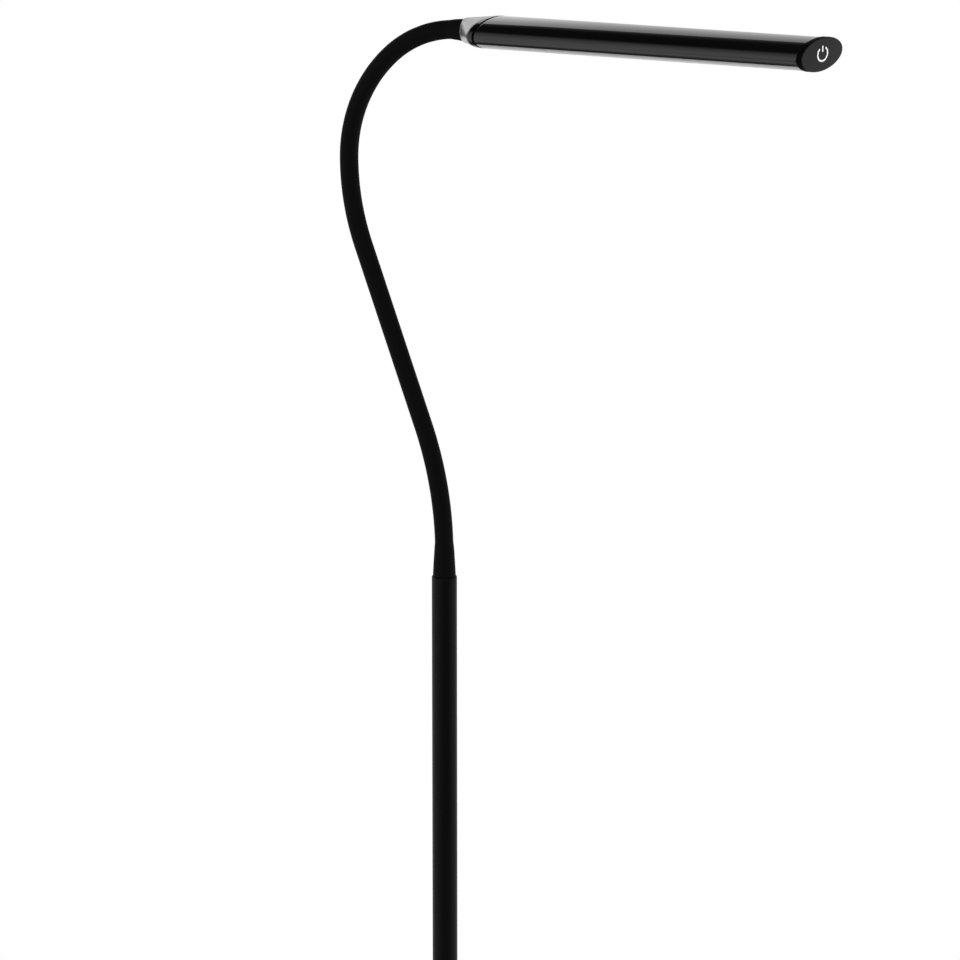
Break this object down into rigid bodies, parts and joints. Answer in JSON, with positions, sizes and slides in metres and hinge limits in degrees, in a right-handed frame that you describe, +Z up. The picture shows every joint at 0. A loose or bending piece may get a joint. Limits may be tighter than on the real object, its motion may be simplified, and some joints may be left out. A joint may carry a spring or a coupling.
{
  "type": "floor lamp",
  "caption": "Slim floor lamp with a round weighted base, straight pole, bendable gooseneck and a flat oval LED head with a touch cap.",
  "frame": {"origin": "centre of the foam pad under the base, on the floor and on the pole axis", "axes": "+Z up along the pole, +X the way the head points, the neck at rest lies in the XZ plane"},
  "size_m": [0.3697, 0.23, 1.2996],
  "materials": {
    "satin_black": "satin black powder coat",
    "cast_iron": "raw casting",
    "foam": "closed-cell foam",
    "steel": "zinc plated",
    "black_plastic": "moulded",
    "white_plastic": "moulded",
    "lead": "insulated wire",
    "core": "wound steel wire",
    "sleeve": "matte black sleeve",
    "collar": "satin nickel",
    "gloss_black": "high gloss black",
    "opal": "opal diffuser",
    "carrier": "extruded",
    "board_white": "white solder mask",
    "led": "phosphor lens",
    "board_green": "green solder mask",
    "copper": "copper",
    "end_cap": "satin dark grey"
  },
  "bodies": {
    "stand": {"base_cover": "satin_black", "base_weight": "cast_iron", "base_pad": "foam", "base_stud": "steel", "base_washer": "steel", "base_nut": "steel", "cord_gland": "black_plastic", "terminal_block": "white_plastic", "lower_pole": "satin_black", "upper_pole": "satin_black", "pole_inserts": "steel", "joint_stud": "steel", "pole_top_bush": "steel", "pole_lead": "lead", "lower_ferrule": "steel", "core_link_1": "core", "neck_sleeve": "sleeve", "neck_lead": "lead"},
    "link_2": {"core_link_2": "core"},
    "link_3": {"core_link_3": "core"},
    "link_4": {"core_link_4": "core"},
    "link_5": {"core_link_5": "core"},
    "link_6": {"core_link_6": "core"},
    "link_7": {"core_link_7": "core"},
    "link_8": {"core_link_8": "core"},
    "link_9": {"core_link_9": "core"},
    "link_10": {"core_link_10": "core"},
    "link_11": {"core_link_11": "core"},
    "link_12": {"core_link_12": "core"},
    "head": {"core_link_13": "core", "upper_ferrule": "steel", "neck_collar": "collar", "rear_cap": "gloss_black", "ferrule_nut": "steel", "head_housing": "gloss_black", "diffuser": "opal", "led_carrier": "carrier", "led_board": "board_white", "leds": "led", "board_screws": "steel", "control_board": "board_green", "touch_electrode": "copper", "end_cap": "end_cap", "head_lead": "lead"}
  },
  "joints": [
    {"name": "lower_bend", "type": "hinge", "parent": "stand", "child": "link_2", "pos_m": [-0.00078, 0, 0.97598], "axis": [0, 1, 0], "range_deg": [-16, 18], "deforming": ["neck_sleeve", "neck_lead"]},
    {"name": "lower_bend_2", "type": "hinge", "parent": "link_2", "child": "link_3", "pos_m": [-0.00535, 0, 1.0063], "axis": [0, 1, 0], "range_deg": [-16, 18], "deforming": ["neck_sleeve", "neck_lead"]},
    {"name": "lower_bend_3", "type": "hinge", "parent": "link_3", "child": "link_4", "pos_m": [-0.0139, 0, 1.03574], "axis": [0, 1, 0], "range_deg": [-16, 18], "deforming": ["neck_sleeve", "neck_lead"]},
    {"name": "lower_sway", "type": "hinge", "parent": "link_4", "child": "link_5", "pos_m": [-0.02473, 0, 1.06445], "axis": [0.9354, 0, 0.3535], "range_deg": [-12, 12], "deforming": ["neck_sleeve", "neck_lead"]},
    {"name": "lower_sway_2", "type": "hinge", "parent": "link_5", "child": "link_6", "pos_m": [-0.03558, 0, 1.09316], "axis": [0.9354, 0, 0.3535], "range_deg": [-12, 12], "deforming": ["neck_sleeve", "neck_lead"]},
    {"name": "lower_sway_3", "type": "hinge", "parent": "link_6", "child": "link_7", "pos_m": [-0.04642, 0, 1.12186], "axis": [0.9354, 0, 0.3535], "range_deg": [-12, 12], "deforming": ["neck_sleeve", "neck_lead"]},
    {"name": "upper_bend", "type": "hinge", "parent": "link_7", "child": "link_8", "pos_m": [-0.05727, 0, 1.15056], "axis": [0, 1, 0], "range_deg": [-22, 12], "deforming": ["neck_sleeve", "neck_lead"]},
    {"name": "upper_bend_2", "type": "hinge", "parent": "link_8", "child": "link_9", "pos_m": [-0.06507, 0, 1.18019], "axis": [0, 1, 0], "range_deg": [-22, 12], "deforming": ["neck_sleeve", "neck_lead"]},
    {"name": "upper_bend_3", "type": "hinge", "parent": "link_9", "child": "link_10", "pos_m": [-0.06682, 0, 1.21076], "axis": [0, 1, 0], "range_deg": [-22, 12], "deforming": ["neck_sleeve", "neck_lead"]},
    {"name": "upper_sway", "type": "hinge", "parent": "link_10", "child": "link_11", "pos_m": [-0.05954, 0, 1.24041], "axis": [0.9159, 0, -0.4014], "range_deg": [-12, 12], "deforming": ["neck_sleeve", "neck_lead"]},
    {"name": "upper_sway_2", "type": "hinge", "parent": "link_11", "child": "link_12", "pos_m": [-0.04267, 0, 1.26586], "axis": [0.7263, 0, -0.6874], "range_deg": [-12, 12], "deforming": ["neck_sleeve", "neck_lead"]},
    {"name": "upper_sway_3", "type": "hinge", "parent": "link_12", "child": "head", "pos_m": [-0.01791, 0, 1.28363], "axis": [0.4022, 0, -0.9156], "range_deg": [-12, 12], "deforming": ["neck_sleeve", "neck_lead"]}
  ],
  "couplings": [
    {"joint": "lower_bend_2", "follows": "lower_bend", "ratio": 1},
    {"joint": "lower_bend_3", "follows": "lower_bend", "ratio": 1},
    {"joint": "lower_sway_2", "follows": "lower_sway", "ratio": 1},
    {"joint": "lower_sway_3", "follows": "lower_sway", "ratio": 1},
    {"joint": "upper_bend_2", "follows": "upper_bend", "ratio": 1},
    {"joint": "upper_bend_3", "follows": "upper_bend", "ratio": 1},
    {"joint": "upper_sway_2", "follows": "upper_sway", "ratio": 1},
    {"joint": "upper_sway_3", "follows": "upper_sway", "ratio": 1}
  ]
}
